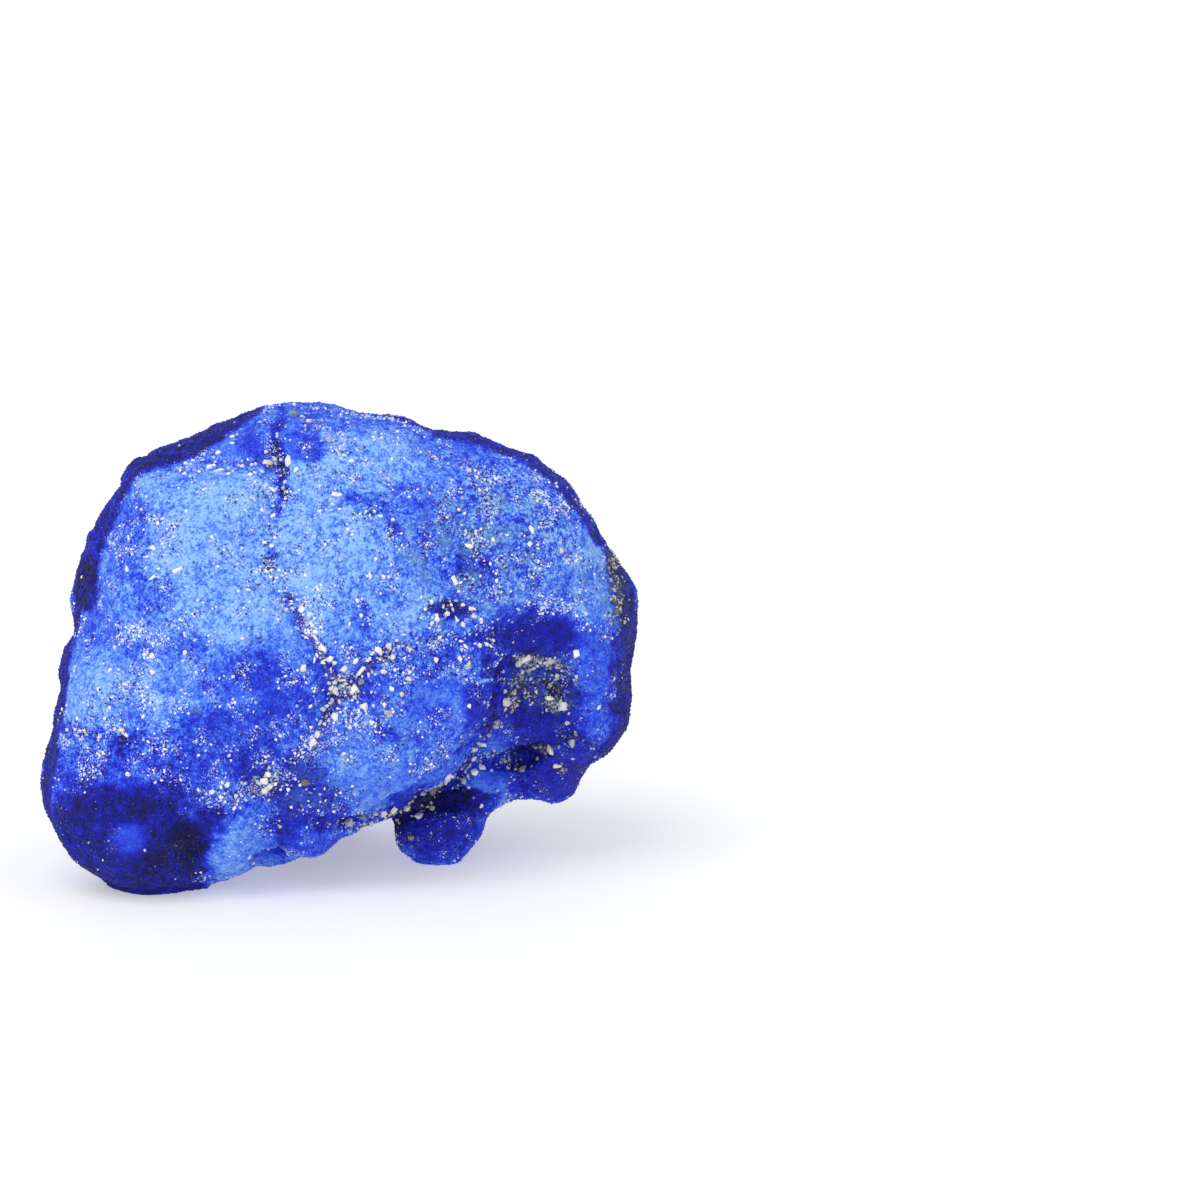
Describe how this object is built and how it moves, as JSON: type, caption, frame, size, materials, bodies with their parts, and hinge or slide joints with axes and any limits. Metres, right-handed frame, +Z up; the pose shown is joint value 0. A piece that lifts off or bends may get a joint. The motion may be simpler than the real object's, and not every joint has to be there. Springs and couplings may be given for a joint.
{
  "type": "azurite nodule",
  "caption": "Rounded lump of natural azurite with a domed face, a seamed and undercut lower edge and small lobes that it stands on.",
  "frame": {"origin": "middle of the nodule's box, on the surface that it rests on", "axes": "+Z up, -Y towards the viewer of the domed show face, +X to that viewer's right"},
  "size_m": [0.0298, 0.021, 0.0234],
  "materials": {
    "azurite": "matt, sugary and dusty, mottled from pale sky blue to near-black indigo, with cream, grey and yellowish sand grains"
  },
  "bodies": {
    "root": {"azurite_nodule": "azurite"}
  },
  "joints": []
}
